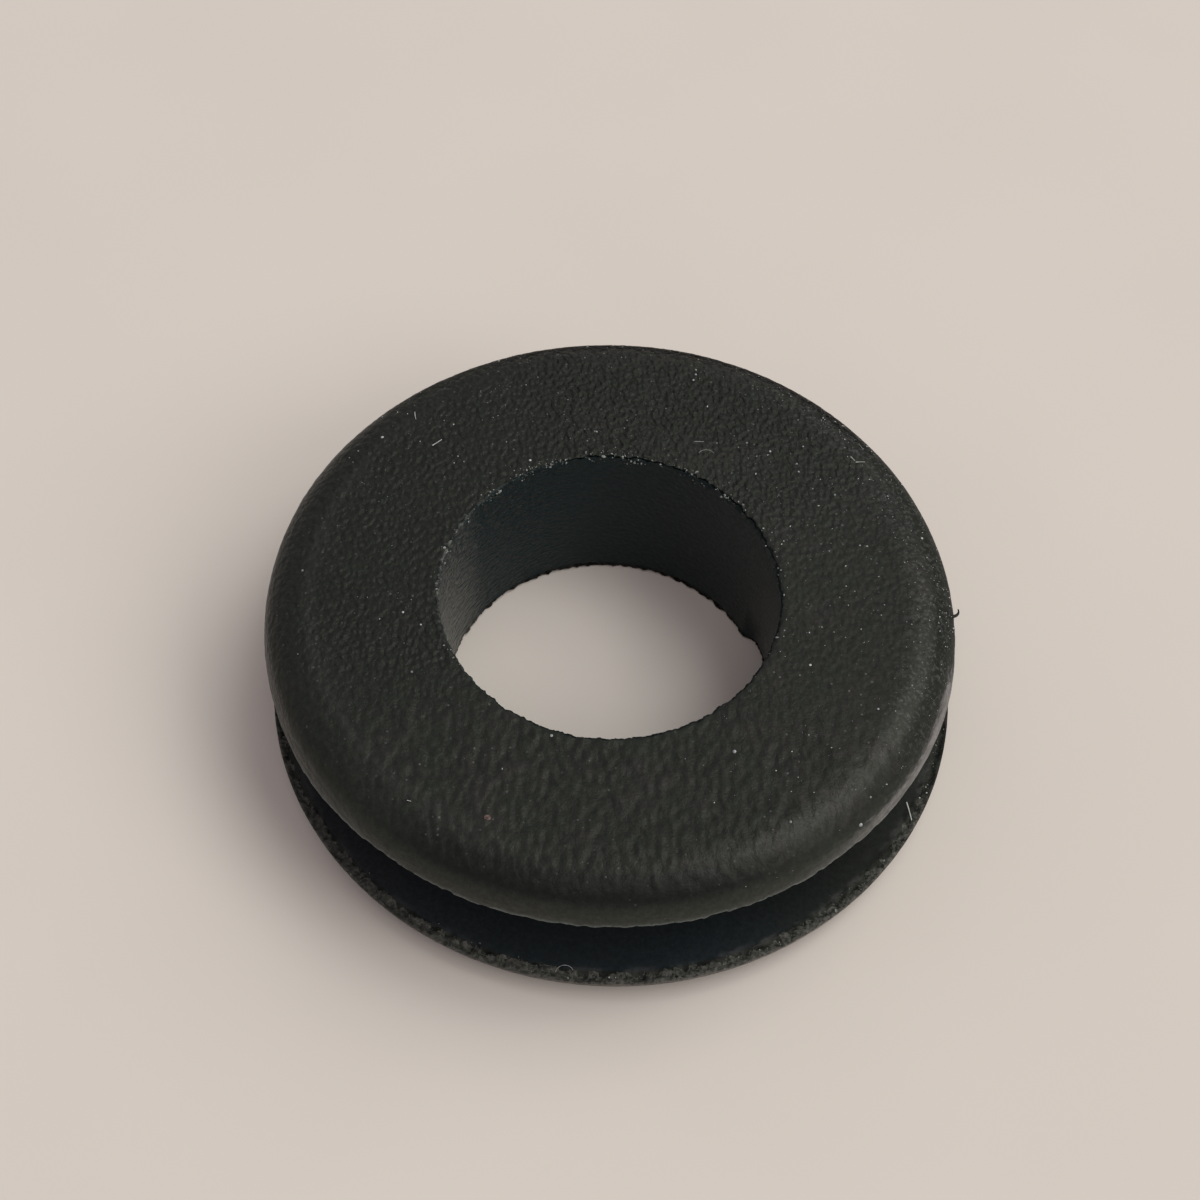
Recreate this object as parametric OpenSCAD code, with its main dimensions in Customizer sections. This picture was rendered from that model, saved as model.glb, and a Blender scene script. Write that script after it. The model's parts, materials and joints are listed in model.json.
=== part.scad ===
// Round moulded rubber grommet: two flanges on a hub, a groove between them that
// snaps into a panel hole, and a plain bore for the cable.
// It lies on its bottom flange: the origin is the centre of that face, +Z is the bore's axis.

/* [Flanges] */
// Outer diameter of the top flange
top_flange_d = 25; // [23:0.1:32]
// Outer diameter of the bottom flange, which is the slightly wider, pushed-through one
bottom_flange_d = 25.5; // [23:0.1:32]
// Thickness of each flange at its flat part
flange_t = 1.5; // [1:0.1:2.5]
// Radius that rounds each flange's outer face down to its lip
flange_edge_r = 1.6; // [0.6:0.1:1.8]

/* [Groove] */
// Diameter of the panel hole, which is the diameter of the groove's floor
panel_hole_d = 19; // [16:0.1:21]
// Width of the groove, for the thickness of the panel
groove_w = 4; // [1.6:0.1:8]
// Fillet in the two inner corners of the groove
groove_root_r = 0.3; // [0.1:0.05:0.6]

/* [Bore] */
// Diameter of the cable bore
bore_d = 12.2; // [6:0.1:14]
// Radius that breaks the edge of the bore at each mouth
bore_edge_r = 0.15; // [0.05:0.05:0.6]

/* [Finish] */
// Colour of the rubber
rubber_color = "#2f312e"; // [#2f312e:charcoal, #1c1c1c:black, #6b6e70:grey]

/* [Hidden] */
// Facets of a full turn about the bore's axis
turn_fn = 120;
// Facets of the small circles that round the section
edge_fn = 64;
// Overlap that carries a cutter past the face it cuts
past = 0.5;
bore_r = bore_d / 2;
groove_r = panel_hole_d / 2;
grommet_h = 2 * flange_t + groove_w;
// Part of the edge radius that lies below the lip, where the radius is larger than the flange
buried_r = max(flange_edge_r - flange_t, 0);
// Radial width of the rounded edge, from the flat face to the lip
edge_reach = sqrt(flange_edge_r * flange_edge_r - buried_r * buried_r);

// What a radius r takes off a square outside corner, which is at the origin with the solid at -X and -Y
module corner_cut(r) {
    difference() {
        translate([-r, -r]) square(r + past);
        translate([-r, -r]) circle(r, $fn = edge_fn);
    }
}

// What a radius r leaves in a square inside corner, which is at the origin with the walls at -X and -Y
module corner_fillet(r) {
    difference() {
        square(r);
        translate([r, r]) circle(r, $fn = edge_fn);
    }
}

// Half section of a flange of outer diameter d: its lip lies on the X axis, its outer face at flange_t
module flange_section(d) {
    difference() {
        square([d / 2, flange_t]);
        translate([d / 2 - edge_reach + flange_edge_r, flange_t]) corner_cut(flange_edge_r);
    }
}

// Half section of the whole moulding, outside the bore
module body_section() {
    square([groove_r, grommet_h]);
    translate([0, grommet_h - flange_t]) flange_section(top_flange_d);
    translate([0, flange_t]) mirror([0, 1]) flange_section(bottom_flange_d);
    translate([groove_r, flange_t]) corner_fillet(groove_root_r);
    translate([groove_r, grommet_h - flange_t]) mirror([0, 1]) corner_fillet(groove_root_r);
}

// Half section of the bore with its broken mouths
module bore_section() {
    translate([0, -past]) square([bore_r, grommet_h + 2 * past]);
    translate([bore_r, 0]) mirror([0, 1]) mirror([1, 0]) corner_cut(bore_edge_r);
    translate([bore_r, grommet_h]) mirror([1, 0]) corner_cut(bore_edge_r);
}

module grommet() {
    color(rubber_color)
        rotate_extrude($fn = turn_fn)
            difference() {
                body_section();
                bore_section();
            }
}

grommet();
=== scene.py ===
"""Looks of a round moulded rubber grommet: one charcoal body with its grain, torn lips and dust."""
import json
import logging
import math
from collections.abc import Callable, Iterable
from dataclasses import dataclass, field
from enum import StrEnum, auto
from functools import cached_property
from typing import ClassVar

import bpy
import numpy as np
from mathutils import Matrix, Vector


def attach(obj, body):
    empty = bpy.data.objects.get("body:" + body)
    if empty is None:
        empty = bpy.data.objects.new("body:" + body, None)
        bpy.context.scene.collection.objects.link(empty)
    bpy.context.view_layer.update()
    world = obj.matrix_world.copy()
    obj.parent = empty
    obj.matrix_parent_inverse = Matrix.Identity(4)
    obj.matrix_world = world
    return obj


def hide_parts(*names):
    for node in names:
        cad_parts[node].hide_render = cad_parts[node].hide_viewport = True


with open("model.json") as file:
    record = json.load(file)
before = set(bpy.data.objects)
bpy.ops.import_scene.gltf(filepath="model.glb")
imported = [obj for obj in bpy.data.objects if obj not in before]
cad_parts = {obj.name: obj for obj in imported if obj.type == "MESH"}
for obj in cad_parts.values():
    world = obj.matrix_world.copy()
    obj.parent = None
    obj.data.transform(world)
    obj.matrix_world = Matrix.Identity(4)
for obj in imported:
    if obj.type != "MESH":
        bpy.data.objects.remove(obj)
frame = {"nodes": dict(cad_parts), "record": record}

LOG = logging.getLogger("grommet")
MM = 0.001
NODE = "grommet"
BODY = "root"
# How the mould's ripples and pebbles are drawn out, along X, Y and Z.
RIPPLE_STRETCH = (1.0, 0.6, 1.0)
PEBBLE_STRETCH = (1.0, 0.75, 1.0)
# Share of the mould's grain that the sole has.
SOLE_GRAIN = 0.3
# Share of a zone's colour that covers the rubber's; on the bore, groove, back rim and bore's foot that colour
# is painted shade.
COVER = 0.9
# Gap that is left between the body and its CAD box.
GAP = 0.005 * MM
# Depth to which the top of a speck is pressed into the flange, in millimetres.
PRESSED = 0.004
Ground = Callable[[float, float], float]
Triple = tuple[float, float, float]


class Mask(StrEnum):
    """Names of the weights that the section carries onto the body's surface."""

    TOP_LIP = auto()
    LIP_LINE = auto()
    TOP_RIM = auto()
    SHOULDER = auto()
    SHEEN = auto()
    MATT_RIM = auto()
    BACK_RIM = auto()
    CROWN = auto()
    UNDERCUT = auto()
    OUTSIDE = auto()
    RIM_DUST = auto()
    BOTTOM_LIP = auto()
    BOTTOM_RIM = auto()
    BORE_TOP = auto()
    BORE_FOOT = auto()
    BORE_FLARE = auto()
    BORE_WALL = auto()
    GROOVE = auto()
    GRAIN = auto()
    DUST = auto()
    LOWER_HALF = auto()
    HUB = auto()


@dataclass(frozen=True)
class Value:
    """A number, vector, colour or geometry that a node gives; arithmetic with it adds further nodes.

    Attributes:
        graph: The tree under construction.
        socket: The output that gives the value.
    """

    graph: "Graph"
    socket: bpy.types.NodeSocket

    def is_number(self) -> bool:
        """Returns whether it is one number."""
        return self.socket.type in ("VALUE", "INT")

    def __add__(self, other: object) -> "Value":
        """Adds a number to a number, or a vector to a vector."""
        return (self.graph.math if self.is_number() else self.graph.vector)("ADD", self, other)

    def __sub__(self, other: object) -> "Value":
        """Takes a number off a number."""
        return self.graph.math("SUBTRACT", self, other)

    def __rsub__(self, other: float) -> "Value":
        """Takes it off a plain number."""
        return self.graph.math("SUBTRACT", other, self)

    def __mul__(self, other: object) -> "Value":
        """Multiplies it by a number, or a vector by a triple, part by part.

        Args:
            other: The number or the triple.

        Returns:
            The product.
        """
        if self.is_number():
            return self.graph.math("MULTIPLY", self, other)
        if isinstance(other, tuple):
            return self.graph.vector("MULTIPLY", self, other)
        return self.graph.vector("SCALE", self, scale=other)

    def __rmul__(self, other: float) -> "Value":
        """Multiplies a plain number by it."""
        return self * other

    def part(self, axis: int) -> "Value":
        """Returns a vector's x, y or z."""
        return self.graph.give("ShaderNodeSeparateXYZ", self, out=axis)

    def ramp(self, low: object, high: object, to_low: object = 0.0, to_high: object = 1.0,
             smooth: bool = True) -> "Value":
        """Maps its range from low to high onto another range, easing in and out, and holds it there."""
        return self.graph.give("ShaderNodeMapRange", self, low, high, to_low, to_high,
                               interpolation_type="SMOOTHSTEP" if smooth else "LINEAR")


@dataclass
class Graph:
    """A node tree under construction, with short calls that add, fill and join nodes.

    Attributes:
        tree: The shader or geometry node tree that is being filled.
    """

    PLACE: ClassVar[tuple[str, str]] = ("ShaderNodeTexCoord", "Object")
    tree: bpy.types.NodeTree

    def put(self, socket: bpy.types.NodeSocket, value: object) -> None:
        """Joins a socket to a node's output, or sets it.

        Args:
            socket: The input that is filled.
            value: The output, or a plain value.
        """
        if isinstance(value, Value):
            self.tree.links.new(value.socket, socket)
        else:
            socket.default_value = value

    def add(self, kind: str, **settings: object) -> bpy.types.Node:
        """Adds a node.

        Args:
            kind: The node's type name in Blender.
            **settings: Properties to set on it.

        Returns:
            The node.
        """
        node = self.tree.nodes.new(kind)
        for name, value in settings.items():
            setattr(node, name, value)
        return node

    def give(self, kind: str, *values: object, out: "int | str" = 0,
             named: "dict[str, object] | None" = None, **settings: object) -> Value:
        """Adds a node, fills its inputs and hands back one output.

        Args:
            kind: The node's type name in Blender.
            *values: Values for its first inputs, in order.
            out: The number or name of the output that is wanted.
            named: Values for further inputs, by name.
            **settings: Properties to set on the node.

        Returns:
            The output.
        """
        node = self.add(kind, **settings)
        for socket, value in zip(node.inputs, values):
            self.put(socket, value)
        for name, value in (named or {}).items():
            self.put(node.inputs[name], value)
        return Value(self, node.outputs[out])

    @cached_property
    def place(self) -> Value:
        """The position."""
        kind, out = self.PLACE
        return self.give(kind, out=out)

    @cached_property
    def outward(self) -> Value:
        """The unit vector that points away from the bore's axis."""
        return self.vector("NORMALIZE", self.place * (1.0, 1.0, 0.0))

    def facing(self, turn: float, low: float, high: float) -> Value:
        """Returns 1 at a compass angle in degrees, and 0 where the cosine off it is low or less."""
        along = (math.cos(math.radians(turn)), math.sin(math.radians(turn)), 0.0)
        return self.vector("DOT_PRODUCT", self.outward, along).ramp(low, high)

    def math(self, operation: str, *values: object) -> Value:
        """Adds a Math node with sockets or numbers, in the order of its inputs."""
        return self.give("ShaderNodeMath", *values, operation=operation)

    def vector(self, operation: str, *values: object, scale: object = None) -> Value:
        """Adds a Vector Math node with values or triples, in the order of its inputs."""
        return self.give("ShaderNodeVectorMath", *values, operation=operation,
                         out="Value" if operation in ("DISTANCE", "DOT_PRODUCT") else "Vector",
                         named={} if scale is None else {"Scale": scale})

    def join(self, x: object, y: object, z: object) -> Value:
        """Returns the vector made of three numbers."""
        return self.give("ShaderNodeCombineXYZ", x, y, z)

    def noise(self, pitch: float, detail: float = 0.0, rough: float = 0.5,
              at: "Value | None" = None) -> Value:
        """Returns noise of about 0 to 1, with lumps of a size in metres and finer layers."""
        return self.give("ShaderNodeTexNoise", noise_dimensions="3D", named={
            "Vector": at or self.place, "Scale": 1 / pitch, "Detail": detail, "Roughness": rough})

    def cells(self, pitch: float, output: str, at: "Value | None" = None) -> Value:
        """Returns an output of a Voronoi texture, with cells of a size in metres."""
        return self.give("ShaderNodeTexVoronoi", voronoi_dimensions="3D", out=output,
                         named={"Vector": at or self.place, "Scale": 1 / pitch})

    def pebbled(self, ripple: float, pebble: float, detail: float = 0.0) -> Value:
        """Returns the height of the mould's grain: long ripples at the front, small round pebbles behind.

        Args:
            ripple: Size of the ripples.
            pebble: Size of the pebbles.
            detail: How many finer layers the pebbles have.

        Returns:
            The height, about 0 to 1.
        """
        front = self.place.part(1).ramp(-2 * MM, -7 * MM)
        ripples = self.noise(ripple, at=self.place * RIPPLE_STRETCH)
        pebbles = self.noise(pebble, detail, at=self.place * PEBBLE_STRETCH)
        return ripples * front + pebbles * (1.0 - front)


@dataclass
class SurfaceGraph(Graph):
    """A shader tree around one Principled surface."""

    @classmethod
    def new(cls, name: str) -> "tuple[bpy.types.Material, SurfaceGraph]":
        """Makes a material and the graph that fills it.

        Args:
            name: The material's name.

        Returns:
            The material and its graph.
        """
        material = bpy.data.materials.new(name)
        material.use_nodes = True
        return material, cls(material.node_tree)

    def surface(self, **inputs: object) -> None:
        """Fills inputs of the Principled shader, with _ for a space in a name."""
        shader = self.tree.nodes["Principled BSDF"]
        for name, value in inputs.items():
            self.put(shader.inputs[name.replace("_", " ")], value)

    def weight(self, mask: Mask) -> Value:
        """Returns a weight that the surface carries."""
        return self.give("ShaderNodeAttribute", attribute_name=mask.value, out="Fac")

    def blend(self, share: object, first: "Value | Triple", second: "Value | Triple") -> Value:
        """Mixes two colours.

        Args:
            share: How much of the second colour shows.
            first: The first colour.
            second: The second colour.

        Returns:
            The mixed colour.
        """
        node = self.add("ShaderNodeMix", data_type="RGBA")
        self.put(node.inputs["Factor"], share)
        for name, value in (("A", first), ("B", second)):
            socket = next(s for s in node.inputs if s.name == name and s.type == "RGBA")
            self.put(socket, value if isinstance(value, Value) else (*value, 1))
        return Value(self, next(s for s in node.outputs if s.type == "RGBA"))

    def coats(self, color: "Value | Triple", *coats: "tuple[Value, Value | Triple]") -> Value:
        """Lays coats over a colour.

        Args:
            color: The colour underneath.
            *coats: A share and a colour for each coat, the lowest first.

        Returns:
            The colour on top.
        """
        for share, coat in coats:
            color = self.blend(share, color, coat)
        return color

    def bump(self, height: object, depth: float, before: "Value | None" = None) -> Value:
        """Returns the normal of a height whose 1 is so deep, on top of an earlier normal."""
        earlier = {"Normal": before} if before else {}
        return self.give("ShaderNodeBump", named={"Distance": depth, "Height": height, **earlier})


@dataclass
class ShapeGraph(Graph):
    """A geometry tree with one geometry input, named size inputs and one geometry output.

    Attributes:
        sizes: What each size input is set to when the tree is run.
        source: The tree's own input node.
    """

    PLACE: ClassVar[tuple[str, str]] = ("GeometryNodeInputPosition", "Position")
    sizes: dict[str, int | float] = field(default_factory=dict)
    source: bpy.types.Node = field(init=False)

    def __post_init__(self) -> None:
        """Adds the group's own input and output."""
        for way in ("INPUT", "OUTPUT"):
            self.tree.interface.new_socket("Geometry", in_out=way, socket_type="NodeSocketGeometry")
        self.source = self.add("NodeGroupInput")

    @classmethod
    def new(cls, name: str) -> "ShapeGraph":
        """Makes a geometry tree and the graph that fills it."""
        return cls(bpy.data.node_groups.new(name, "GeometryNodeTree"))

    def size(self, name: str, number: int | float) -> Value:
        """Adds a named input that is set to a number.

        Args:
            name: The input's name.
            number: What it is set to.

        Returns:
            Its value.
        """
        kind = "NodeSocketInt" if isinstance(number, int) else "NodeSocketFloat"
        self.tree.interface.new_socket(name, in_out="INPUT", socket_type=kind)
        self.sizes[name] = number
        return Value(self, self.source.outputs[name])

    def entering(self) -> Value:
        """Returns the geometry that enters the tree."""
        return Value(self, self.source.outputs[0])

    def carried(self, name: str) -> Value:
        """Returns a number that the geometry's points carry."""
        return self.give("GeometryNodeInputNamedAttribute", name, data_type="FLOAT")

    def weight(self, mask: Mask) -> Value:
        """Returns a weight that the geometry carries."""
        return self.carried(mask.value)

    def step(self, kind: str, geometry: Value, **inputs: object) -> Value:
        """Passes geometry through a node; _ stands for a space in an input's name."""
        named = {name.replace("_", " "): value for name, value in inputs.items()}
        return self.give(kind, geometry, named=named)

    def within(self, geometry: Value, reach: float, roof: float) -> Value:
        """Moves each point of a geometry into a box.

        Args:
            geometry: What is held.
            reach: How far the box goes from the axis along X and along Y.
            roof: The box's height.

        Returns:
            The held geometry.
        """
        side, top = self.size("Reach", reach), self.size("Roof", roof)
        below = self.vector("MINIMUM", self.place, self.join(side, side, top))
        back = side * -1.0
        return self.step("GeometryNodeSetPosition", geometry,
                         Position=self.vector("MAXIMUM", below, self.join(back, back, 0.0)))

    def grow(self, name: str, base: bpy.types.Mesh, geometry: Value,
             material: bpy.types.Material) -> bpy.types.Object:
        """Ends the tree with plain meshes that wear a material, and runs it on a mesh.

        Args:
            name: The new piece's name.
            base: The mesh that goes into the tree.
            geometry: What the tree makes of it.
            material: What the piece wears.

        Returns:
            The piece, plain and at the origin. It rides on the body.
        """
        plain = self.step("GeometryNodeRealizeInstances", geometry)
        dressed = self.step("GeometryNodeSetMaterial", plain, Material=material)
        self.put(self.add("NodeGroupOutput").inputs[0], dressed)
        seedling = link(name + "_seedling", base)
        modifier = seedling.modifiers.new("grow", "NODES")
        modifier.node_group = self.tree
        for item in self.tree.interface.items_tree:
            if item.in_out == "INPUT" and item.name in self.sizes:
                modifier[item.identifier] = self.sizes[item.name]
        evaluated = seedling.evaluated_get(bpy.context.evaluated_depsgraph_get())
        mesh = bpy.data.meshes.new_from_object(evaluated)
        bpy.data.objects.remove(seedling)
        mesh.name = name
        mesh.shade_smooth()
        piece = link(name, mesh)
        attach(piece, BODY)
        LOG.info("%s: %d faces", piece.name, len(mesh.polygons))
        return piece


def wire(name: str, points: Iterable, edges: Iterable, layers: dict[str, Iterable]) -> bpy.types.Mesh:
    """Makes a mesh of bare points and edges.

    Args:
        name: The mesh's name.
        points: The points.
        edges: Pairs of the points' numbers.
        layers: Numbers that the points carry, by name.

    Returns:
        The mesh.
    """
    mesh = bpy.data.meshes.new(name)
    mesh.from_pydata(points, edges, [])
    for layer, numbers in layers.items():
        mesh.attributes.new(layer, "FLOAT", "POINT").data.foreach_set("value", numbers)
    return mesh


def link(name: str, data: bpy.types.ID) -> bpy.types.Object:
    """Makes an object and puts it in the scene.

    Args:
        name: The object's name.
        data: What it shows.

    Returns:
        The object.
    """
    thing = bpy.data.objects.new(name, data)
    bpy.context.scene.collection.objects.link(thing)
    return thing


@dataclass(frozen=True)
class RubberFinish:
    """Matt charcoal moulded rubber with a pebbled grain, paler where it is torn or scuffed, with painted
    shade and light.

    Attributes:
        name: The material's name.
        dark: Linear colour in the hollows of the grain.
        green: Linear colour on its crowns, where the rubber leans to green.
        mauve: Linear colour on its crowns, where it leans to mauve.
        bore: Linear colour of the bore's wall, tinted blue-green as painted shade inside the bore.
        groove: Linear colour of the groove, tinted blue as painted shade in the recess.
        groove_right_shade: Linear colour of the groove on its right, darker as painted shade.
        groove_left_light: Linear colour of the groove on its left, paler as painted light.
        shoulder: Linear colour of painted shade: a dark band on the round above the top flange's lip at the
            front, and a darker tone towards the back left.
        painted_light: Linear colour of painted light: the paler back, and a faint highlight ring where the
            top face starts to round on the left.
        rim: Linear colour of the paler band along that lip at the front, partly wear and partly a painted
            reflection of the pale table.
        edge: Linear colour of the fine pale line on the lip itself, a painted highlight.
        scuff_and_reflection: Linear colour of the scuffed stretch of the band, partly scuffing and mostly a
            painted reflection of the pale table.
        torn: Linear colour of torn rubber on the bottom flange, where it stands out.
        torn_dark: Linear colour of torn rubber in its hollows.
        torn_edge: Linear colour of its outermost edge, shown as a painted highlight where it faces the light
            at the right front.
        painted_shade_black: Linear colour of painted shade: crumb shadows in spots along the torn band's
            inner edge, and the back of the top flange's rim painted near black.
        tint: Colour of the sheen.
        foot: Linear colour of the shaded gap at the bore's foot.
        bloom: Linear colour of the finest dust that sits in the grain.
        front: Middle of the side where the paler band along the lip is laid, in degrees from +X.
        scuff_reflection_turn: Middle of the scuffed stretch and its painted reflection, in degrees from +X.
        rough: Least and greatest roughness.
        gloss: Specular level.
        sheen: How much is added to it where the shoulder is handled.
        matt: What it is on the matt rim.
        speck_pitch: Spacing of the finest dust.
        fine_pitch: Size of the finest grain.
        fine_depth: Depth of the finest grain.
        pebble_pitch: Size of the pebbles that the fine grain sits on.
        pebble_depth: Depth of those pebbles.
        crisper: The direction in which the grain grows crisper.
        ripple_pitch: Size of the short ripples that the core pin left in the bore.
        ripple_depth: Depth of those ripples.
        grit_pitch: Size of the grit on the torn rim.
        grit_depth: Depth of that grit.
    """

    name: str = "charcoal rubber"
    dark: Triple = (0.0155, 0.0172, 0.0141)
    green: Triple = (0.0188, 0.0213, 0.0168)
    mauve: Triple = (0.0212, 0.0206, 0.0184)
    bore: Triple = (0.0114, 0.0200, 0.0214)
    groove: Triple = (0.0140, 0.0180, 0.0204)
    groove_right_shade: Triple = (0.0120, 0.0138, 0.0126)
    groove_left_light: Triple = (0.0200, 0.0215, 0.0235)
    shoulder: Triple = (0.0090, 0.0102, 0.0092)
    painted_light: Triple = (0.0300, 0.0312, 0.0275)
    rim: Triple = (0.0328, 0.0362, 0.0288)
    edge: Triple = (0.13, 0.14, 0.133)
    scuff_and_reflection: Triple = (0.206, 0.191, 0.184)
    torn: Triple = (0.083, 0.081, 0.070)
    torn_dark: Triple = (0.0300, 0.0315, 0.0275)
    torn_edge: Triple = (0.25, 0.207, 0.181)
    painted_shade_black: Triple = (0.004, 0.004, 0.004)
    foot: Triple = (0.002, 0.002, 0.002)
    bloom: Triple = (0.09, 0.092, 0.085)
    tint: Triple = (1.0, 0.94, 0.84)
    front: float = -92.0
    scuff_reflection_turn: float = -40.0
    rough: tuple[float, float] = (0.34, 0.46)
    gloss: float = 0.12
    sheen: float = 0.093
    matt: float = 0.01
    speck_pitch: float = 0.2 * MM
    fine_pitch: float = 0.1 * MM
    fine_depth: float = 0.02 * MM
    pebble_pitch: float = 0.25 * MM
    pebble_depth: float = 0.075 * MM
    crisper: Triple = (-0.25, 0.97, 0.0)
    ripple_pitch: float = 0.36 * MM
    ripple_depth: float = 0.25 * MM
    grit_pitch: float = 0.09 * MM
    grit_depth: float = 0.08 * MM

    def material(self) -> bpy.types.Material:
        """Builds the material.

        Returns:
            The material.
        """
        material, graph = SurfaceGraph.new(self.name)
        grain = graph.weight(Mask.GRAIN)
        pebbles = graph.pebbled(1.1 * self.pebble_pitch, 0.75 * self.pebble_pitch, 0.5)
        fine = graph.noise(self.fine_pitch, 1.0, 0.6)
        color = self.torn_rim_and_painted_light(graph, self.wear_and_painted_light(graph, self.base_color(graph, pebbles)))
        color = graph.blend(graph.weight(Mask.BORE_FOOT) * COVER, color, self.foot)
        graph.surface(
            Base_Color=self.dusty_color(graph, grain, color), Roughness=fine.ramp(0.3, 0.7, *self.rough),
            Specular_IOR_Level=self.shine(graph), Specular_Tint=(*self.tint, 1),
            Normal=self.relief(graph, grain, pebbles, fine))
        return material

    def relief(self, graph: SurfaceGraph, grain: Value, pebbles: Value, fine: Value) -> Value:
        """Raises the bore's ripples, the pebbles and the finest grain.

        Args:
            graph: The material's graph.
            grain: Where the mould's grain is, and how strong.
            pebbles: The pebbles' height.
            fine: The finest grain's height.

        Returns:
            The bumped normal.
        """
        wave = graph.noise(self.ripple_pitch, 1.0, 0.6, at=graph.place * (1.0, 1.0, 2.2))
        pinned = graph.weight(Mask.BORE_WALL) * graph.facing(175, 0.25, 0.8)
        rings = graph.bump(wave * pinned, self.ripple_depth)
        crisp = graph.vector("DOT_PRODUCT", graph.place, self.crisper).ramp(-8 * MM, 10 * MM, 1.0, 2.9)
        soft = (graph.facing(-2, 0.75, 0.98).ramp(0.0, 1.0, 0.0, 0.58)
                + graph.facing(150, 0.6, 0.95).ramp(0.0, 1.0, 0.0, 0.48))
        crisp = crisp * (1.0 - soft) * grain
        rounded = graph.bump(pebbles * crisp, self.pebble_depth, rings)
        rough = graph.bump(fine * crisp, self.fine_depth, rounded)
        grit = graph.noise(self.grit_pitch, 2.0, 0.7) * graph.weight(Mask.BOTTOM_RIM)
        return graph.bump(grit, self.grit_depth, rough)

    def shine(self, graph: SurfaceGraph) -> Value:
        """Adds shine on the handled shoulder and the bore's left, and takes it off the rim.

        Args:
            graph: The material's graph.

        Returns:
            The specular level.
        """
        handled = graph.weight(Mask.SHEEN) * graph.facing(-33, 0.6, 0.96) * self.sheen
        pinned = graph.weight(Mask.BORE_WALL) * graph.facing(185, 0.75, 1.0)
        matt = graph.weight(Mask.MATT_RIM) * graph.facing(65, -0.1, 0.45)
        return matt.ramp(0.0, 1.0, self.gloss, self.matt, smooth=False) + (handled + pinned)

    def base_color(self, graph: SurfaceGraph, pebbles: Value) -> Value:
        """Works out the rubber's colour: darker in the hollows and drifting from green to mauve on the
        crowns, with painted shade and light by side, a painted highlight ring, and the bore, groove and back
        rim as painted shade.

        Args:
            graph: The material's graph.
            pebbles: The pebbles' height.

        Returns:
            The colour.
        """
        tone = pebbles * 0.6 + graph.noise(2.4 * MM, 3.0, 0.55) * 0.4
        crowns = graph.blend(graph.noise(1.7 * MM, 3.0, 0.6).ramp(0.42, 0.58), self.green, self.mauve)
        # Painted shade in the groove: tinted blue, darker on the right, and paler on the left as painted
        # light.
        deep = graph.coats(self.groove, (graph.facing(-20, 0.6, 0.95), self.groove_right_shade),
                           (graph.facing(-165, 0.5, 0.95), self.groove_left_light))
        return graph.coats(
            self.dark,
            (tone.ramp(0.35, 0.65), crowns),
            # Painted shade: darker towards the back left.
            (graph.facing(155, 0.1, 1.0) * 0.35, self.shoulder),
            # Painted light: paler towards the back.
            (graph.facing(70, -0.2, 1.0) * 0.13, self.painted_light),
            # Painted highlight: a faint pale ring where the top face starts to round, on the left.
            (graph.weight(Mask.CROWN) * graph.facing(-165, 0.3, 0.9) * 0.4, self.painted_light),
            # Painted shade: the back of the top flange's rim painted near black.
            (graph.weight(Mask.BACK_RIM) * graph.facing(75, 0.6, 0.95) * COVER, self.painted_shade_black),
            # Bore wall tinted blue-green as painted shade.
            (graph.weight(Mask.BORE_WALL) * COVER, self.bore),
            (graph.weight(Mask.GROOVE) * COVER, deep))

    def wear_and_painted_light(self, graph: SurfaceGraph, color: Value) -> Value:
        """Lays painted shade on the top flange's shoulder, the paler band along its lip (partly wear, partly
        painted reflection), a painted highlight on the lip line and the streaked band of scuffing and painted
        reflection over a colour.

        Args:
            graph: The material's graph.
            color: The colour underneath.

        Returns:
            The colour on top.
        """
        broken = graph.noise(0.5 * MM, 2.0, 0.7).ramp(0.36, 0.56, 0.35, 1.0)
        color = graph.coats(
            color,
            # Painted shade: dark band on the round above the top flange's lip, at the front.
            (graph.weight(Mask.SHOULDER) * graph.facing(-92, 0.74, 0.97), self.shoulder),
            # Paler band along the lip at the front: partly wear, partly painted reflection of the pale table.
            (graph.weight(Mask.TOP_RIM) * graph.facing(self.front, 0.2, 0.8), self.rim),
            # Painted highlight: fine pale line along the lip.
            (graph.weight(Mask.LIP_LINE) * broken, self.edge),
            # Streaked band above the lip: partly scuffing, mostly painted reflection of the pale table.
            (self.scuff_and_reflection_share(graph), self.scuff_and_reflection))
        return color * graph.noise(0.17 * MM, 2.0, 0.75).ramp(0.3, 0.7, 0.78, 1.22, smooth=False)

    def torn_rim_and_painted_light(self, graph: SurfaceGraph, color: Value) -> Value:
        """Lays the bottom flange's torn rim over a colour: pale crumbs, a painted highlight on the rim's
        outermost edge at the right front, and painted shadows of crumbs in spots along its inner edge.

        Args:
            graph: The material's graph.
            color: The colour underneath.

        Returns:
            The colour on top.
        """
        rim = graph.weight(Mask.BOTTOM_RIM)
        ragged = graph.noise(0.34 * MM, 3.0, 0.65).ramp(0.3, 0.7, -0.5, 0.5, smooth=False)
        wider = (graph.facing(-122, 0.75, 0.97).ramp(0.0, 1.0, -0.12, 0.18)
                 + graph.facing(-68, 0.9, 0.98).ramp(0.0, 1.0, 0.0, 0.12))
        reach = (rim + ragged + wider) * rim.ramp(0.0, 0.1)
        grit = (graph.noise(0.15 * MM, 2.0, 0.6).ramp(0.36, 0.62)
                * graph.facing(-136, 0.93, 0.99).ramp(0.0, 1.0, 1.0, 0.7))
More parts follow.
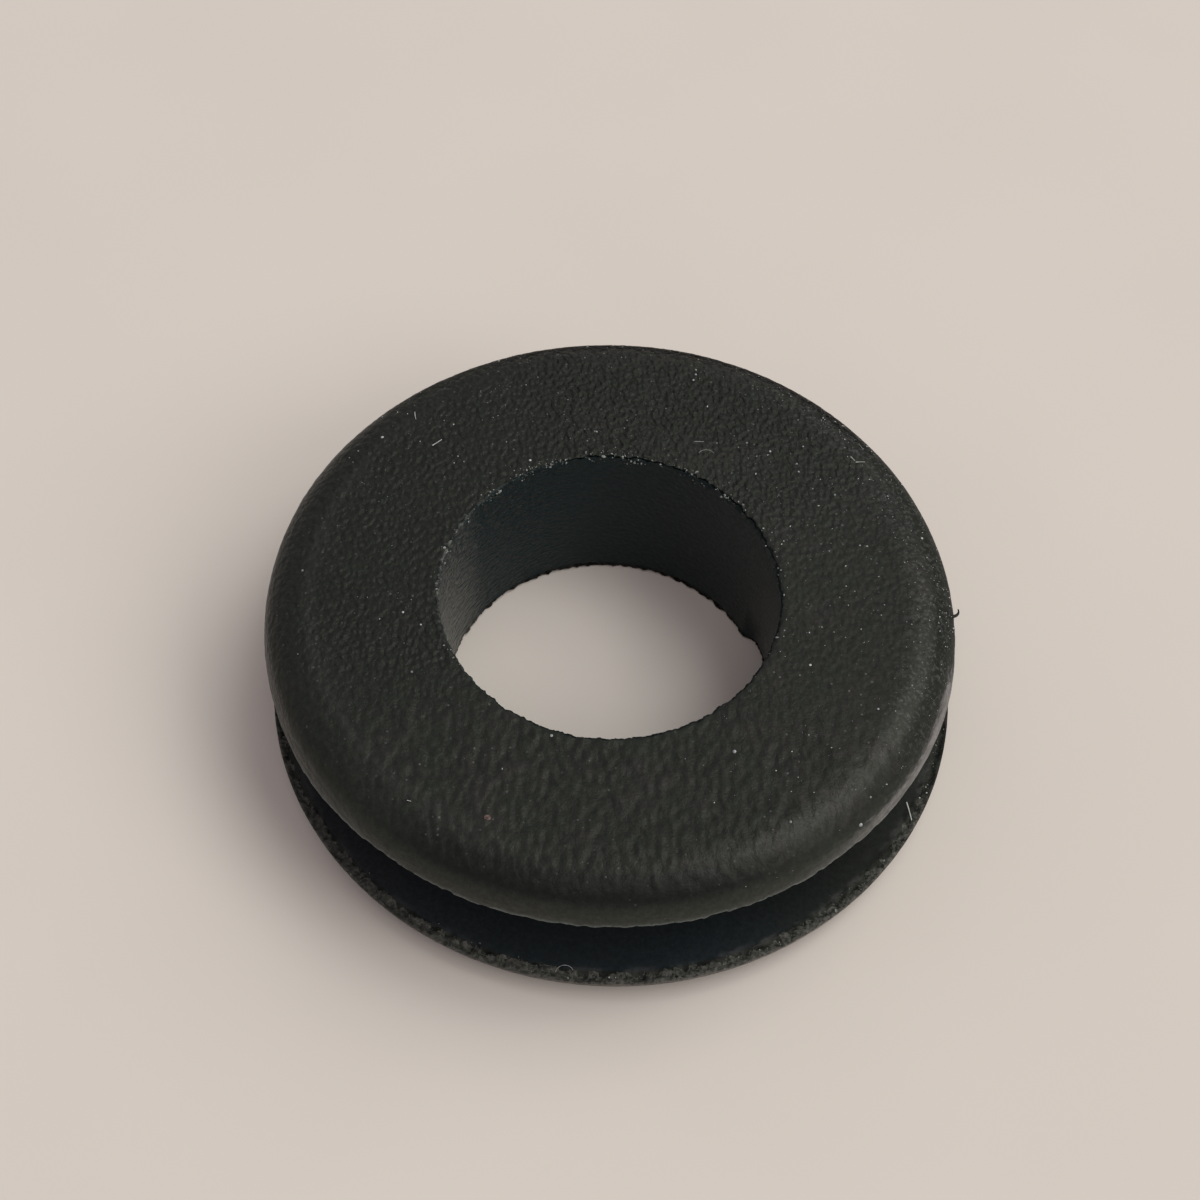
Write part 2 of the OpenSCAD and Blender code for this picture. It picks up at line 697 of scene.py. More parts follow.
        # Painted highlight: the rim's edge is palest where it faces the light, at the right front, and less
        # at the front.
        highlight_side = graph.math("MAXIMUM", graph.facing(-33, 0.75, 0.95), graph.facing(-80, 0.89, 0.98) * 0.38)
        edge_highlight = rim.ramp(0.77, 0.95) * (highlight_side * grit.ramp(0.0, 1.0, 0.6, 1.0))
        crumbs = graph.coats(self.torn_dark, (grit, self.torn), (edge_highlight, self.torn_edge))
        fresh = (graph.facing(self.front - 6, 0.1, 0.45) + ragged * 0.35).ramp(0.4, 0.7)
        verge = reach.ramp(0.16, 0.28) * reach.ramp(0.44, 0.32)
        # Painted shadows of crumbs: near-black spots along the torn band's inner edge.
        nicks = graph.noise(0.22 * MM, 1.0).ramp(0.47, 0.6, 0.0, 0.75)
        return graph.coats(color, (reach.ramp(0.34, 0.5) * fresh, crumbs), (verge * nicks, self.painted_shade_black))

    def scuff_and_reflection_share(self, graph: SurfaceGraph) -> Value:
        """Works out how much of the rim shows the scuffed band, partly scuffing and mostly a painted
        reflection of the pale table: solid at the lip, in streaks above it.

        Args:
            graph: The material's graph.

        Returns:
            The scuffs' share.
        """
        streaks = graph.noise(0.5 * MM, 4.0, 0.75, at=graph.place * (1.0, 1.0, 4.0))
        streaks = streaks.ramp(0.34, 0.66, 0.0, 0.3, smooth=False)
        taller = graph.facing(self.scuff_reflection_turn + 26, 0.97, 1.0) * 0.15
        streaked_band = (graph.weight(Mask.TOP_RIM) + streaks + taller).ramp(0.45, 0.9)
        reflecting_side = graph.facing(self.scuff_reflection_turn + 32, 0.6, 1.0) * 0.82
        ends = (graph.facing(self.scuff_reflection_turn, 0.79, 1.0) + streaks).ramp(0.4, 0.7)
        lines = graph.noise(1.3 * MM, 2.0, 0.6, at=graph.place * (1.0, 1.0, 9.0))
        return streaked_band * reflecting_side * (ends * lines.ramp(0.36, 0.62, 0.62, 1.1))

    def dusty_color(self, graph: SurfaceGraph, grain: Value, color: Value) -> Value:
        """Lays the finest dust over a colour, in loose flocks.

        Args:
            graph: The material's graph.
            grain: Where the mould's grain is, and how strong.
            color: The colour underneath.

        Returns:
            The colour on top.
        """
        dots = graph.cells(self.speck_pitch, "Distance").ramp(0.28, 0.1)
        chance = graph.cells(self.speck_pitch, "Color").part(0).ramp(0.72, 1.0)
        flecks = graph.noise(0.15 * MM, 2.0, 0.6).ramp(0.5, 0.66, 0.0, 0.42)
        flock = graph.noise(1.6 * MM, 2.0, 0.6).ramp(0.35, 0.65, 0.15, 1.0)
        right = graph.weight(Mask.RIM_DUST) * graph.facing(15, 0.5, 0.9)
        finest = dots * (chance * flock) * grain
        return graph.coats(color, (flecks * right, self.bloom), (finest, self.bloom))


@dataclass(frozen=True)
class PaleFinish:
    """Matt pale stuff whose tone varies from place to place: dust, chaff, lint or the table.

    Attributes:
        name: The material's name.
        low: Linear colour at one end of the change.
        high: Linear colour at its other end.
        pitch: Distance over which the tone changes.
        detail: How many finer layers the change has.
        spread: Share of the noise's range that counts as wholly low, and as wholly high.
        rough: Roughness.
        gloss: Specular level.
    """

    name: str
    low: Triple
    high: Triple
    pitch: float = 0.4 * MM
    detail: float = 1.0
    spread: float = 0.35
    rough: float = 0.9
    gloss: float = 0.2

    def material(self) -> bpy.types.Material:
        """Builds the material.

        Returns:
            The material.
        """
        material, graph = SurfaceGraph.new(self.name)
        tone = graph.noise(self.pitch, self.detail).ramp(self.spread, 1 - self.spread)
        graph.surface(Base_Color=graph.blend(tone, self.low, self.high), Roughness=self.rough,
                      Specular_IOR_Level=self.gloss)
        return material


TABLE = PaleFinish("pale table", (0.645, 0.577, 0.513), (0.632, 0.565, 0.502),
                   14 * MM, 2.0, 0.3, 0.8, 0.15)


@dataclass
class Section:
    """The half section of the moulding, as a closed walk of points that turns about the bore.

    Attributes:
        height: Height of the grommet.
        bore_r: Radius of the bore.
        top_r: Radius of the top flange at its lip.
        bottom_r: Radius of the bottom flange at its lip.
        groove_r: Radius of the groove's floor.
        top_lip: Height of the top flange's lip.
        bottom_lip: Height of the bottom flange's lip.
        edge_r: Radius that rounds each flange down to its lip.
        ease_in: How far inside the round the top face already begins to fall.
        ease_out: How far into the round that easy fall reaches.
        root_r: Fillet in the groove's inner corners.
        mouth_r: Radius that breaks the bore's two edges.
        lip_r: Radius that breaks the top flange's lip.
        shoulder_r: Radius that breaks the bottom flange's lip.
        trim: How far the bottom flange's rim is worn back, on the radius.
        swell: How far the top flange has swollen, on the radius.
        draft: How much narrower the bore is at its foot, on the radius.
    """

    height: float
    bore_r: float
    top_r: float
    bottom_r: float
    groove_r: float
    top_lip: float
    bottom_lip: float
    edge_r: float = 1.6 * MM
    ease_in: float = 0.45 * MM
    ease_out: float = 0.4 * MM
    root_r: float = 0.3 * MM
    mouth_r: float = 0.15 * MM
    lip_r: float = 0.06 * MM
    shoulder_r: float = 0.12 * MM
    trim: float = 0.005 * MM
    swell: float = 0.015 * MM
    draft: float = 0.08 * MM

    @classmethod
    def of_node(cls, name: str) -> "Section":
        """Reads the sizes off a CAD node.

        Args:
            name: The node's name.

        Returns:
            The section with the node's own sizes.
        """
        points = np.array([v.co for v in frame["nodes"][name].data.vertices])
        radius, level = np.hypot(points[:, 0], points[:, 1]), points[:, 2]
        height = float(level.max())
        bore = next(m for m in frame["record"]["mounts"] if m["kind"] == "bore")
        bore_r = bore["dims"]["r_mm"] * MM
        upper = level > height / 2
        top, bottom = int(np.argmax(radius * upper)), int(np.argmax(radius * ~upper))
        clear = 0.2 * MM
        inside = (level > level[bottom] + clear) & (level < level[top] - clear) & (radius > bore_r + MM)
        return cls(height, bore_r, float(radius[top]) + cls.swell, float(radius[bottom]),
                   float(radius[inside].min()), float(level[top]), float(level[bottom]))

    def reach(self) -> float:
        """Returns the furthest that anything stands from the axis."""
        return self.bottom_r - GAP

    def crown(self, lip_radius: float, thick: float) -> float:
        """Returns the radius at which a flange's flat face turns down to a lip so far below it."""
        return lip_radius - math.sqrt(self.edge_r ** 2 - (self.edge_r - thick) ** 2)

    def turn_at(self, depth: float) -> float:
        """Returns the angle on a rounded edge, in degrees, at a depth below its flat face."""
        return math.degrees(math.asin(1 - depth / self.edge_r))

    def ease(self) -> tuple[float, float]:
        """Works out the top face's easy fall towards the round.

        Returns:
            The slope at which it meets the round, and how far it sinks it.
        """
        straight = math.sqrt(self.edge_r ** 2 - self.ease_out ** 2)
        slope = self.ease_out / straight
        return slope, slope * (self.ease_in + self.ease_out) / 2 - (self.edge_r - straight)

    def upper_height(self, radius: float) -> float:
        """Works out how high the top flange's face is.

        Args:
            radius: How far from its axis.

        Returns:
            The height.
        """
        slope, sunk = self.ease()
        past = radius - self.crown(self.top_r, self.height - self.top_lip)
        if past < self.ease_out:
            fall = max(past + self.ease_in, 0.0) ** 2
            return self.height - slope * fall / (2 * (self.ease_in + self.ease_out))
        return self.height - sunk - self.edge_r + math.sqrt(max(self.edge_r ** 2 - past ** 2, 0.0))

    def walk(self) -> np.ndarray:
        """Walks round the section, clockwise with the radius to the right and the height up.

        Returns:
            Rows of radius and height, closed from the last row to the first.
        """
        height, top_r, bottom_r = self.height, self.top_r, self.bottom_r - self.trim
        top_lip, bottom_lip, lip_r, shoulder_r = self.top_lip, self.bottom_lip, self.lip_r, self.shoulder_r
        crown, sole = self.crown(top_r, height - top_lip), self.crown(bottom_r, bottom_lip)
        mouth, root_out = self.bore_r + self.mouth_r, self.groove_r + self.root_r
        foot = self.bore_r - self.draft
        sunk = self.ease()[1]
        early = math.degrees(math.acos(self.ease_out / self.edge_r))
        late = self.turn_at(height - top_lip - 0.4 * MM)
        eased = np.linspace(crown - self.ease_in, crown + self.ease_out, 7, endpoint=False)
        runs = [
            line((mouth, height), (crown - self.ease_in, height), 30),
            np.array([(radius, self.upper_height(radius)) for radius in eased]),
            arc((crown, height - self.edge_r - sunk), self.edge_r, early, late, 9),
            arc((crown, height - self.edge_r - sunk), self.edge_r, late,
                self.turn_at(height - top_lip - lip_r - sunk), 6),
            arc((top_r - lip_r, top_lip + lip_r), lip_r, 0, -90, 3),
            line((top_r - lip_r, top_lip), (top_r - 0.3 * MM, top_lip), 2),
            line((top_r - 0.3 * MM, top_lip), (root_out, top_lip), 3),
            arc((root_out, top_lip - self.root_r), self.root_r, 90, 180, 2),
            line((self.groove_r, top_lip - self.root_r), (self.groove_r, bottom_lip + self.root_r), 3),
            arc((root_out, bottom_lip + self.root_r), self.root_r, 180, 270, 2),
            line((root_out, bottom_lip), (bottom_r - 0.8 * MM, bottom_lip), 3),
            line((bottom_r - 0.8 * MM, bottom_lip), (bottom_r - shoulder_r, bottom_lip), 9),
            arc((bottom_r - shoulder_r, bottom_lip - shoulder_r), shoulder_r, 90, 0, 3),
            arc((sole, self.edge_r), self.edge_r, -self.turn_at(bottom_lip - shoulder_r), -90, 14),
            line((sole, 0), (foot + self.mouth_r, 0), 9),
            arc((foot + self.mouth_r, self.mouth_r), self.mouth_r, 270, 180, 3),
            line((foot, self.mouth_r), (foot, 0.4 * MM), 5),
            line((foot, 0.4 * MM), (self.bore_r, height - self.mouth_r), 21),
            arc((mouth, height - self.mouth_r), self.mouth_r, 180, 90, 4),
        ]
        return np.concatenate(runs)

    def weights(self, points: np.ndarray) -> dict[Mask, np.ndarray]:
        """Works out what each point of the walk carries.

        Args:
            points: Rows of radius and height.

        Returns:
            One weight from 0 to 1 for each mask and point.
        """
        radius, level = points.T

        def near(corner_r: float, corner_z: float, width: float) -> np.ndarray:
            """Returns 1 at a corner of the section, easing to 0 over a width."""
            return np.exp(-(np.hypot(radius - corner_r, level - corner_z) / width) ** 2)

        def fade(value: np.ndarray, one: float, zero: float) -> np.ndarray:
            """Returns 1 where a value passes one limit, and 0 where it passes the other."""
            return np.clip((value - zero) / (one - zero), 0, 1)

        wall = fade(radius, self.bore_r, self.bore_r + self.mouth_r)
        hub = fade(radius, self.bore_r, self.bore_r + 2 * MM)
        low = fade(level, 0.45 * self.height, 0.55 * self.height)
        groove = (radius > self.bore_r + MM) & (radius < self.bottom_r - 0.5 * MM)
        groove &= (level > self.bottom_lip - self.lip_r) & (level < self.top_lip + self.lip_r)
        upper_edge = fade(level, self.height, self.height - 0.5 * MM)
        lower_edge = fade(level, 0.0, 0.5 * MM)
        flat = np.where(level > self.height / 2, upper_edge, SOLE_GRAIN * lower_edge)
        over = (level - self.top_lip) / MM
        outside = (radius > self.top_r - 2.2 * MM) & (over > -0.02)
        inset = np.where(outside, (self.top_r - radius) / MM, 9.0)
        under = (self.bottom_r - self.trim - radius) / MM
        ledge = (level > self.bottom_lip - 0.7 * self.shoulder_r) & (level < self.bottom_lip + self.root_r)
        worn_round = np.interp(level / MM, (0.85, 1.2, 1.3, 1.4, 1.5), (0, 1, 1, 0.85, 0.8))
        worn_round = np.where((under < 2) & (level < self.bottom_lip + self.root_r), worn_round, 0)
        return {
            Mask.TOP_LIP: near(self.top_r, self.top_lip, 0.25 * MM),
            Mask.LIP_LINE: near(self.top_r, self.top_lip + 0.03 * MM, 0.08 * MM),
            Mask.TOP_RIM: np.where(outside, np.interp(over, (0.1, 0.95), (1.0, 0.0)), 0.0),
            Mask.SHOULDER: np.interp(inset, (0.18, 0.38, 1.0, 1.4), (0.0, 1.0, 1.0, 0.0)),
            Mask.RIM_DUST: np.interp(inset, (0.1, 0.4, 1.4, 2.2), (0.2, 1.0, 1.0, 0.0)),
            Mask.SHEEN: np.interp(inset, (0.7, 1.0, 1.4, 1.7), (0.0, 1.0, 1.0, 0.0)),
            Mask.MATT_RIM: np.interp(inset, (0.8, 1.15), (1.0, 0.0)),
            Mask.BACK_RIM: np.interp(inset, (0.8, 1.2), (1.0, 0.0)),
            Mask.CROWN: np.interp(inset, (1.45, 1.65, 1.85, 2.1), (0.0, 1.0, 1.0, 0.0)),
            Mask.UNDERCUT: (outside | groove) * np.interp(over, (-1.5, -0.3, 0.1, 0.65), (0, 1, 1, 0)),
            Mask.OUTSIDE: outside.astype(float),
            Mask.BOTTOM_LIP: near(self.bottom_r - 0.25 * MM, self.bottom_lip, 0.2 * MM),
            Mask.BOTTOM_RIM: np.where(ledge, np.interp(under, (0.15, 0.5), (0.8, 0.0)), worn_round),
            Mask.BORE_TOP: near(self.bore_r, self.height, 0.22 * MM),
            Mask.BORE_FOOT: wall * fade(level, 0.24 * MM, 0.36 * MM),
            Mask.BORE_FLARE: wall * fade(level, 0.0, 2.5 * MM),
            Mask.BORE_WALL: fade(radius, self.bore_r, self.bore_r + 0.06 * MM),
            Mask.GROOVE: groove.astype(float),
            Mask.GRAIN: np.select((groove, wall > 0.9, outside), (0.12, 0.15, 0.4 + 0.6 * flat),
                                  0.15 + 0.85 * flat),
            Mask.DUST: np.where((wall < 1) & (over > 0.4), 1.0, 0.0),
            Mask.LOWER_HALF: low * (1 - hub),
            Mask.HUB: hub,
        }


def line(start: tuple[float, float], end: tuple[float, float], steps: int) -> np.ndarray:
    """Returns evenly spaced points from start, short of end."""
    share = np.arange(steps)[:, None] / steps
    return np.array(start) * (1 - share) + np.array(end) * share


def arc(centre: tuple[float, float], radius: float, start: float, end: float, steps: int) -> np.ndarray:
    """Returns evenly spaced points on an arc, short of its end; the angles are in degrees."""
    turn = np.radians(start + (end - start) * np.arange(steps) / steps)
    return np.array(centre) + radius * np.stack([np.cos(turn), np.sin(turn)], axis=1)


@dataclass(frozen=True)
class Dent:
    """A small round dent in the top flange.

    Attributes:
        turn: Its angle about the bore, in degrees from +X.
        radius: Its distance from the bore's axis.
        width: Its width.
        depth: Its depth.
    """

    turn: float
    radius: float
    width: float
    depth: float

    def centre(self, height: float) -> Triple:
        """Returns its place on the flange's flat face."""
        turn = math.radians(self.turn)
        return (self.radius * math.cos(turn), self.radius * math.sin(turn), height)


@dataclass
class MouldedBody:
    """The grommet's one body: the section turned about the bore, with what the mould and the knife left.

    Attributes:
        section: The half section.
        finish: The rubber.
        segments: Steps of the full turn.
        grain_pitch: Size of the mould's pebbles.
        grain_depth: Depth of the mould's pebbles.
        step_pitch: Length of the stretches in which a lip is torn off.
        step_depth: How far such stretches differ.
        torn_depth: Depth of the torn band on the bottom lip.
        rim_depth: How ragged the bore's two edges are.
        flare: How far a short stretch of the bore's foot is torn outwards.
        upper_off: Where the mould's upper half sits, off the lower half's axis.
        bore_off: How far the bore's pin sits off the upper half.
        thin: How much thinner the top flange is on its right.
        thick: How much thicker it is on its left.
        sag: How much thicker a short stretch of it is at the front.
        lobe: How far its back half is out of round, on the radius, in three lobes.
        dents: Pits in the top flange.
    """

    section: Section
    finish: RubberFinish
    segments: int = 720
    grain_pitch: float = 0.29 * MM
    grain_depth: float = 0.055 * MM
    step_pitch: float = 2.6 * MM
    step_depth: float = 0.2 * MM
    torn_depth: float = 0.2 * MM
    rim_depth: float = 0.16 * MM
    flare: float = 0.35 * MM
    upper_off: Triple = (-0.145 * MM, -0.024 * MM, 0.0)
    bore_off: Triple = (-0.07 * MM, -0.044 * MM, 0.0)
    thin: float = 0.11 * MM
    thick: float = 0.3 * MM
    sag: float = 0.09 * MM
    lobe: float = 0.045 * MM
    dents: tuple[Dent, ...] = (
        Dent(-3.4, 11.02 * MM, 0.12 * MM, 0.07 * MM),
        Dent(-47.5, 10.79 * MM, 0.14 * MM, 0.07 * MM),
        Dent(-66.5, 10.93 * MM, 0.14 * MM, 0.06 * MM),
    )

    def face_at(self, x: float, y: float) -> float:
        """Returns the height of the top flange's face at a place."""
        return self.section.upper_height(math.hypot(x - self.upper_off[0], y - self.upper_off[1]))

    def ledge_at(self, x: float, y: float) -> float:
        """Returns the height of the bottom flange's upper face, which is the same everywhere."""
        return self.section.bottom_lip

    def outline(self) -> bpy.types.Mesh:
        """Builds the section as a loop of edges that carries the weights.

        Returns:
            A mesh in the XY plane, off by the turning radius: X is the radius and -Y the height.
        """
        points = self.section.walk()
        count = len(points)
        weights = self.section.weights(points)
        return wire("half_section", [(r - self.section.groove_r, -z, 0) for r, z in points],
                    [(i, (i + 1) % count) for i in range(count)],
                    {mask.value: weight.astype(np.float32) for mask, weight in weights.items()})

    def asymmetry(self, graph: ShapeGraph) -> Value:
        """Sets the mould halves and the bore apart, and the undercut askew.

        Args:
            graph: The body's graph.

        Returns:
            The offset.
        """
        upper = graph.vector("SCALE", self.upper_off, scale=1.0 - graph.weight(Mask.LOWER_HALF))
        bore = graph.vector("SCALE", self.bore_off, scale=graph.weight(Mask.HUB))
        across = graph.place.part(0)
        middle = graph.math("ABSOLUTE", across - 1.4 * MM)
        step = (across.ramp(6.6 * MM, 8.4 * MM, 0.0, self.thin)
                + across.ramp(-8.0 * MM, -10.0 * MM, 0.0, -self.thick)
                + middle.ramp(2.0 * MM, 3.0 * MM, -self.sag, 0.0))
        rise = graph.join(0.0, 0.0, step * graph.weight(Mask.UNDERCUT))
        turn = graph.outward.part(0)
        lobes = turn * (3.0 - 4.0 * (turn * turn)) * graph.place.part(1).ramp(-5 * MM, -1 * MM)
        return upper + bore + rise + graph.outward * (lobes * (self.lobe * graph.weight(Mask.OUTSIDE)))

    def top_steps(self, graph: ShapeGraph) -> Value:
        """Leaves low steps and tongues along the top flange's lip.

        Args:
            graph: The body's graph.

        Returns:
            The offset.
        """
        lap = graph.outward * self.section.top_r
        stretch = graph.cells(self.step_pitch, "Color", at=lap).part(0)
        nibble = graph.noise(0.45 * MM, 2.0, 0.6, at=lap).ramp(0.35, 0.65)
        ragged = (stretch + nibble) * 0.6 - 0.15
        depth = graph.size("Step depth", self.step_depth)
        return graph.join(0.0, 0.0, graph.weight(Mask.TOP_LIP) * ragged * depth * -1.0)

    def torn_lip(self, graph: ShapeGraph) -> Value:
        """Tears the bottom flange's lip into crumbs, ledges and bites.

        Args:
            graph: The body's graph.

        Returns:
            The offset.
        """
        lap = graph.outward * self.section.bottom_r
        crumbs = graph.noise(0.24 * MM, 2.0, 0.7).ramp(0.3, 0.7, -0.6, 0.5, smooth=False)
        bites = graph.noise(1.1 * MM, 3.0, 0.65, at=lap).ramp(0.42, 0.58, 0.0, -0.8)
        depth = graph.size("Torn depth", self.torn_depth)
        return graph.join(0.0, 0.0, graph.weight(Mask.BOTTOM_LIP) * (crumbs + bites) * depth)

    def ragged_bore(self, graph: ShapeGraph) -> Value:
        """Leaves nicks and flash along the bore's two edges.

        Args:
            graph: The body's graph.

        Returns:
            The offset.
        """
        nicks = graph.noise(0.32 * MM, 3.0, 0.7).ramp(0.3, 0.7, -0.5, 0.5, smooth=False)
        rims = graph.weight(Mask.BORE_TOP) + graph.weight(Mask.BORE_FOOT)
        torn = graph.weight(Mask.BORE_FLARE) * graph.facing(15, 0.97, 0.992)
        return graph.outward * (rims * nicks * graph.size("Rim depth", self.rim_depth) + torn * self.flare)

    def grain(self, graph: ShapeGraph) -> Value:
        """Sinks the mould's pebbles, waves and pits into the rubber.

        Args:
            graph: The body's graph.

        Returns:
            The offset.
        """
        pebbles = graph.pebbled(self.grain_pitch, 0.75 * self.grain_pitch)
        waves = graph.noise(3.2 * MM, 1.0)
        low = pebbles.ramp(0.2, 0.8, 1.0, 0.0, smooth=False) + waves.ramp(0.2, 0.8, 0.6, 0.0, smooth=False)
        calm = graph.facing(-2, 0.6, 0.95).ramp(0.0, 1.0, 1.0, 0.4)
        size = low * (graph.size("Grain depth", self.grain_depth) * calm) * graph.weight(Mask.GRAIN)
        for dent in self.dents:
            gap = graph.vector("DISTANCE", graph.place, dent.centre(self.section.height))
            size = size + gap.ramp(0.0, dent.width, dent.depth, 0.0)
        return graph.give("GeometryNodeInputNormal") * (size * -1.0)

    def build(self) -> bpy.types.Object:
        """Turns the section, works its surface and lets the body stand for the CAD node.

        Returns:
            The body.
        """
        graph = ShapeGraph.new("turned_moulding")
        circle = graph.give("GeometryNodeCurvePrimitiveCircle", named={
            "Resolution": graph.size("Segments", self.segments),
            "Radius": graph.size("Turning radius", self.section.groove_r)})
        loop = graph.step("GeometryNodeMeshToCurve", graph.entering())
        skin = graph.step("GeometryNodeCurveToMesh", circle, Profile_Curve=loop)
        for offset in (self.top_steps, self.torn_lip, self.ragged_bore, self.grain, self.asymmetry):
            skin = graph.step("GeometryNodeSetPosition", skin, Offset=offset(graph))
        skin = graph.within(skin, self.section.reach(), self.section.height)
        body = graph.grow("grommet_body", self.outline(), skin, self.finish.material())
        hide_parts(NODE)
        return body


@dataclass
class Scatter:
    """Tiny flat-sided grains that lie on the body.

    Attributes:
        name: The piece's name.
        finish: What the grains are made of.
        density: Most grains for each square metre.
        smallest: Width of the smallest grain.
        largest: Width of the largest grain.
        seed: Seed of their places and sizes.
        mask: The weight that they keep to.
        toward: The direction in which they lie thicker.
        sparse: Share that is left on the other side.
        onset: Where that share begins to rise, in flange radii towards that direction.
    """

    name: str
    finish: PaleFinish
    density: float
    smallest: float
    largest: float
    seed: int
    mask: Mask = Mask.DUST
    toward: Triple = (0.5, 0.87, 0.0)
    sparse: float = 0.25
    onset: float = -0.75

    def build(self, body: bpy.types.Object, section: Section) -> bpy.types.Object:
        """Scatters the grains.

        Args:
            body: What they lie on.
            section: The body's half section, whose sizes they don't pass.

        Returns:
            The grains, as one piece.
        """
        graph = ShapeGraph.new(self.name + "_scatter")
        density, seed = graph.size("Density", self.density), graph.size("Seed", self.seed)
        smallest, largest = graph.size("Smallest", self.smallest), graph.size("Largest", self.largest)
        flock = graph.noise(1.8 * MM, 2.0, 0.6).ramp(0.38, 0.66, 0.15, 1.0)
        lean = graph.vector("DOT_PRODUCT", graph.place, self.toward)
        side = lean.ramp(self.onset * section.top_r, 0.75 * section.top_r, self.sparse, 1.0)
        points = graph.step("GeometryNodeDistributePointsOnFaces", graph.entering(), Seed=seed,
                            Density=density * (flock * side * graph.weight(self.mask)))
        grain = graph.give("GeometryNodeMeshIcoSphere", named={"Subdivisions": 1, "Radius": 0.5})
        spin, shape, luck = (
            graph.give("FunctionNodeRandomValue", data_type="FLOAT_VECTOR",
                       named={"Min": low, "Max": high, "Seed": seed + shift})
            for shift, low, high in ((1.0, (0.0, 0.0, 0.0), (math.tau, math.tau, math.tau)),
                                     (2.0, (0.6, 0.6, 0.5), (1.6, 1.0, 0.8)),
                                     (3.0, (0.0, 0.0, 0.0), (1.0, 1.0, 1.0))))
        width = graph.math("POWER", luck.part(0), 4.0).ramp(0.0, 1.0, smallest, largest, smooth=False)
        grains = graph.step("GeometryNodeInstanceOnPoints", points, Instance=grain, Rotation=spin,
                            Scale=shape * width)
        grains = graph.step("GeometryNodeRealizeInstances", grains)
        grains = graph.within(grains, section.reach(), section.height)
        return graph.grow(self.name, body.data.copy(), grains, self.finish.material())


@dataclass(frozen=True)
class Speck:
    """One larger speck on the top flange.

    Attributes:
        x: Its place along X, in millimetres.
        y: Its place along Y, in millimetres.
        width: Its width, in millimetres.
    """

    x: float
    y: float
    width: float = 0.09

    def spot(self, ground: Ground, flatness: float) -> Triple:
        """Returns its place on the flange, pressed in until its top is about level with it."""
        sunk = (0.5 * flatness * self.width + PRESSED) * MM
        return (self.x * MM, self.y * MM, ground(self.x * MM, self.y * MM) - sunk)


@dataclass
class PlacedSpecks:
    """The larger specks that stand out, each where it fell.

    Attributes:
        name: The piece's name.
        finish: What the specks are made of.
        specks: The specks.
        flatness: Their height, as a share of their width.
    """

    name: str
    finish: PaleFinish
    specks: tuple[Speck, ...]
    flatness: float = 0.7

    def build(self, ground: Ground) -> bpy.types.Object:
        """Sets a rounded grain in each place.

        Args:
            ground: The height of what they lie on.

        Returns:
            The specks, as one piece.
        """
        graph = ShapeGraph.new(self.name + "_points")
        flat, width = graph.size("Flatness", self.flatness), graph.carried("width")
        grain = graph.give("GeometryNodeMeshIcoSphere", named={"Subdivisions": 2, "Radius": 0.5})
        specks = graph.step("GeometryNodeInstanceOnPoints", graph.entering(), Instance=grain,
                            Scale=graph.join(width, width, width * flat))
        places = [speck.spot(ground, self.flatness) for speck in self.specks]
        spots = wire(self.name + "_spots", places, [], {"width": [speck.width * MM for speck in self.specks]})
        return graph.grow(self.name, spots, specks, self.finish.material())


@dataclass(frozen=True)
class Strand:
    """A thin thread that lies on the grommet, or a curl of flash that grows from it.

    Attributes:
        turn: The angle of its start about the bore, in degrees from +X.
        radius: The distance of its start from the bore's axis.
        level: The height of its start above what it lies on.
        heading: The direction in which it sets off, in degrees from +X.
        length: Its length.
        bend: How far it turns over its length, in degrees.
        thick: Its radius at its start.
        taper: Its radius at its end, as a share of that.
        climb: How far its end stands above its start.
    """

    turn: float
    radius: float
    level: float
    heading: float
    length: float
    bend: float = 0.0
    thick: float = 0.02 * MM
    taper: float = 0.7
    climb: float = 0.0

    def path(self, ground: Ground, steps: int = 12) -> list[Triple]:
        """Walks along it, over what it lies on.

        Args:
            ground: The height of what it lies on.
            steps: How many steps it takes.

        Returns:
            The points that it passes.
        """
        turn = math.radians(self.turn)
        x, y, rise = self.radius * math.cos(turn), self.radius * math.sin(turn), self.level
        points = [(x, y, ground(x, y) + rise)]
        for step in range(steps):
            heading = math.radians(self.heading + self.bend * (step + 0.5) / steps)
            x += math.cos(heading) * self.length / steps
            y += math.sin(heading) * self.length / steps
            rise += self.climb / steps
            points.append((x, y, ground(x, y) + rise))
        return points


@dataclass
class Strands:
    """Strands of one kind, as one piece.

    Attributes:
        name: The piece's name.
        finish: What they are made of.
        strands: The strands.
        sides: Sides of a strand's section.
    """

    name: str
    finish: PaleFinish | RubberFinish
    strands: tuple[Strand, ...]
    sides: int = 7

    def build(self, ground: Ground) -> bpy.types.Object:
        """Sweeps a round section along each strand.

        Args:
            ground: The height of what they lie on.

        Returns:
            The strands, as one piece.
        """
        points, edges, thick = [], [], []
        for strand in self.strands:
            path = strand.path(ground)
            last = len(path) - 1
            edges += [(len(points) + i, len(points) + i + 1) for i in range(last)]
            thick += [strand.thick * (1 + (strand.taper - 1) * i / last) for i in range(last + 1)]
            points += path
        graph = ShapeGraph.new(self.name + "_sweep")
        circle = graph.give("GeometryNodeCurvePrimitiveCircle", named={
            "Resolution": graph.size("Sides", self.sides), "Radius": 1.0})
        lines = graph.step("GeometryNodeMeshToCurve", graph.entering())
        threads = graph.step("GeometryNodeCurveToMesh", lines, Profile_Curve=circle,
                             Scale=graph.carried("thick"), Fill_Caps=True)
        paths = wire(self.name + "_paths", points, edges, {"thick": thick})
        return graph.grow(self.name, paths, threads, self.finish.material())


